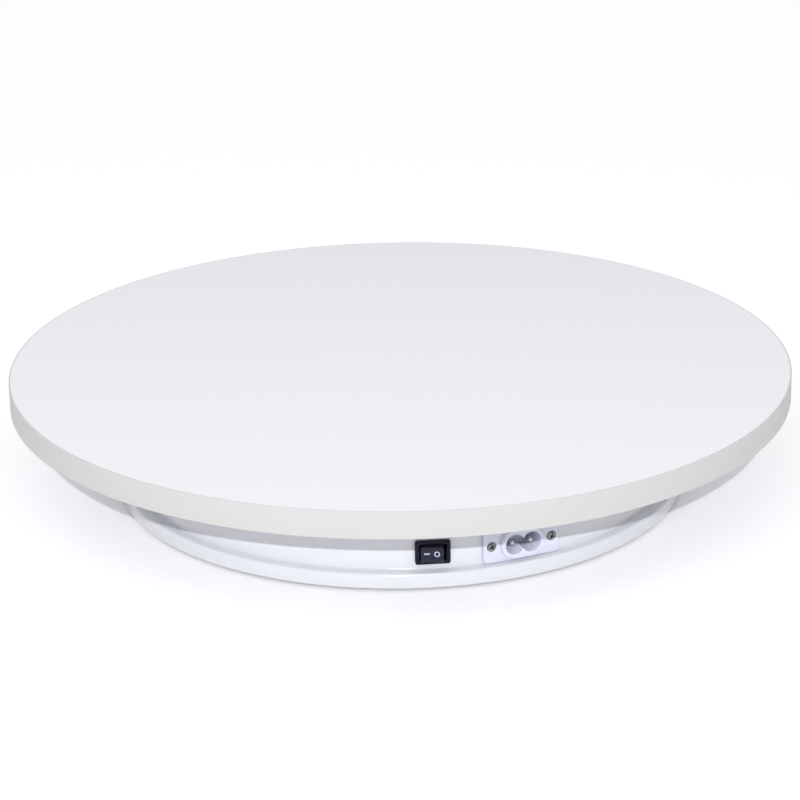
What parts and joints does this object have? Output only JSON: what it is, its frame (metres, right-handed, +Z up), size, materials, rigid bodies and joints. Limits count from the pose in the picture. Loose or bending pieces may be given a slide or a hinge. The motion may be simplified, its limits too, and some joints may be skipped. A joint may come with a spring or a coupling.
{
  "type": "turntable display stand",
  "caption": "Mains-powered turntable display stand: a thick round platter overhanging a low round base, with a rocker switch and a figure-8 power inlet in the base wall.",
  "frame": {"origin": "on the surface the feet stand on, under the platter's axis of rotation", "axes": "+Z up along the platter's axis; -Y is the side the power inlet faces; +X is to the right when facing the inlet"},
  "size_m": [0.35, 0.35, 0.0565],
  "materials": {
    "board_laminate": "satin white melamine face",
    "edge_band": "matt white, warm grey in shade",
    "base_white": "glossy white moulding",
    "plate_white": "fine-textured white moulding",
    "carrier_plastic": "off-white moulding",
    "gear_plastic": "natural acetal",
    "foot_rubber": "matt black rubber",
    "inlet_white": "satin white moulding",
    "contact_nickel": "bright nickel plate",
    "screw_nickel": "bright nickel plate",
    "screw_zinc": "zinc plate",
    "motor_steel": "zinc-plated pressed steel",
    "shaft_steel": "ground steel",
    "bush_bronze": "sintered bronze",
    "switch_black": "glossy black moulding",
    "rocker_black": "glossy black moulding with white marks",
    "wire_brown": "brown insulation",
    "wire_blue": "blue insulation"
  },
  "bodies": {
    "base": {"base_shell": "base_white", "bottom_plate": "plate_white", "foot_1": "foot_rubber", "foot_2": "foot_rubber", "foot_3": "foot_rubber", "foot_4": "foot_rubber", "plate_screw_1": "screw_zinc", "plate_screw_2": "screw_zinc", "plate_screw_3": "screw_zinc", "plate_screw_4": "screw_zinc", "motor_body": "motor_steel", "motor_screw_1": "screw_zinc", "motor_screw_2": "screw_zinc", "spindle_bush": "bush_bronze", "roller_axle_1": "shaft_steel", "roller_axle_2": "shaft_steel", "roller_axle_3": "shaft_steel", "roller_axle_4": "shaft_steel", "roller_axle_5": "shaft_steel", "roller_axle_6": "shaft_steel", "inlet_body": "inlet_white", "inlet_pin_1": "contact_nickel", "inlet_pin_2": "contact_nickel", "inlet_screw_1": "screw_nickel", "inlet_screw_2": "screw_nickel", "inlet_nut_1": "screw_nickel", "inlet_nut_2": "screw_nickel", "switch_body": "switch_black", "switch_terminal_1": "contact_nickel", "switch_terminal_2": "contact_nickel", "wire_inlet_to_switch": "wire_brown", "wire_switch_to_motor": "wire_brown", "wire_inlet_to_motor": "wire_blue"},
    "turntable": {"platter_board": "board_laminate", "platter_edge_band": "edge_band", "carrier_disc": "carrier_plastic", "platter_screw_1": "screw_zinc", "platter_screw_2": "screw_zinc", "platter_screw_3": "screw_zinc", "platter_screw_4": "screw_zinc", "ring_gear": "gear_plastic", "gear_screw_1": "screw_zinc", "gear_screw_2": "screw_zinc", "gear_screw_3": "screw_zinc", "gear_screw_4": "screw_zinc", "spindle": "shaft_steel", "spindle_washer": "shaft_steel", "spindle_clip": "shaft_steel"},
    "motor_output": {"pinion": "gear_plastic", "motor_shaft": "shaft_steel", "pinion_screw": "screw_zinc"},
    "rocker": {"switch_rocker": "rocker_black"},
    "roller_1": {"roller_1": "gear_plastic"},
    "roller_2": {"roller_2": "gear_plastic"},
    "roller_3": {"roller_3": "gear_plastic"},
    "roller_4": {"roller_4": "gear_plastic"},
    "roller_5": {"roller_5": "gear_plastic"},
    "roller_6": {"roller_6": "gear_plastic"}
  },
  "joints": [
    {"name": "platter_spin", "type": "hinge", "parent": "base", "child": "turntable", "pos_m": [0, 0, 0.0425], "axis": [0, 0, 1], "continuous": true},
    {"name": "pinion_spin", "type": "hinge", "parent": "base", "child": "motor_output", "pos_m": [0, 0.045, 0.0347], "axis": [0, 0, 1], "continuous": true},
    {"name": "rocker_tilt", "type": "hinge", "parent": "base", "child": "rocker", "pos_m": [-0.03837, -0.11739, 0.0163], "axis": [0, 0, 1], "range_deg": [0, 20]},
    {"name": "roller_spin_1", "type": "hinge", "parent": "base", "child": "roller_1", "pos_m": [0.05, -0.0866, 0.0337], "axis": [0.5, -0.866, 0], "continuous": true},
    {"name": "roller_spin_2", "type": "hinge", "parent": "base", "child": "roller_2", "pos_m": [0.1, 0, 0.0337], "axis": [1, 0, 0], "continuous": true},
    {"name": "roller_spin_3", "type": "hinge", "parent": "base", "child": "roller_3", "pos_m": [0.05, 0.0866, 0.0337], "axis": [0.5, 0.866, 0], "continuous": true},
    {"name": "roller_spin_4", "type": "hinge", "parent": "base", "child": "roller_4", "pos_m": [-0.05, 0.0866, 0.0337], "axis": [-0.5, 0.866, 0], "continuous": true},
    {"name": "roller_spin_5", "type": "hinge", "parent": "base", "child": "roller_5", "pos_m": [-0.1, 0, 0.0337], "axis": [-1, 0, 0], "continuous": true},
    {"name": "roller_spin_6", "type": "hinge", "parent": "base", "child": "roller_6", "pos_m": [-0.05, -0.0866, 0.0337], "axis": [-0.5, -0.866, 0], "continuous": true}
  ],
  "couplings": [
    {"joint": "pinion_spin", "follows": "platter_spin", "ratio": 4},
    {"joint": "roller_spin_1", "follows": "platter_spin", "ratio": -14.286},
    {"joint": "roller_spin_2", "follows": "platter_spin", "ratio": -14.286},
    {"joint": "roller_spin_3", "follows": "platter_spin", "ratio": -14.286},
    {"joint": "roller_spin_4", "follows": "platter_spin", "ratio": -14.286},
    {"joint": "roller_spin_5", "follows": "platter_spin", "ratio": -14.286},
    {"joint": "roller_spin_6", "follows": "platter_spin", "ratio": -14.286}
  ]
}
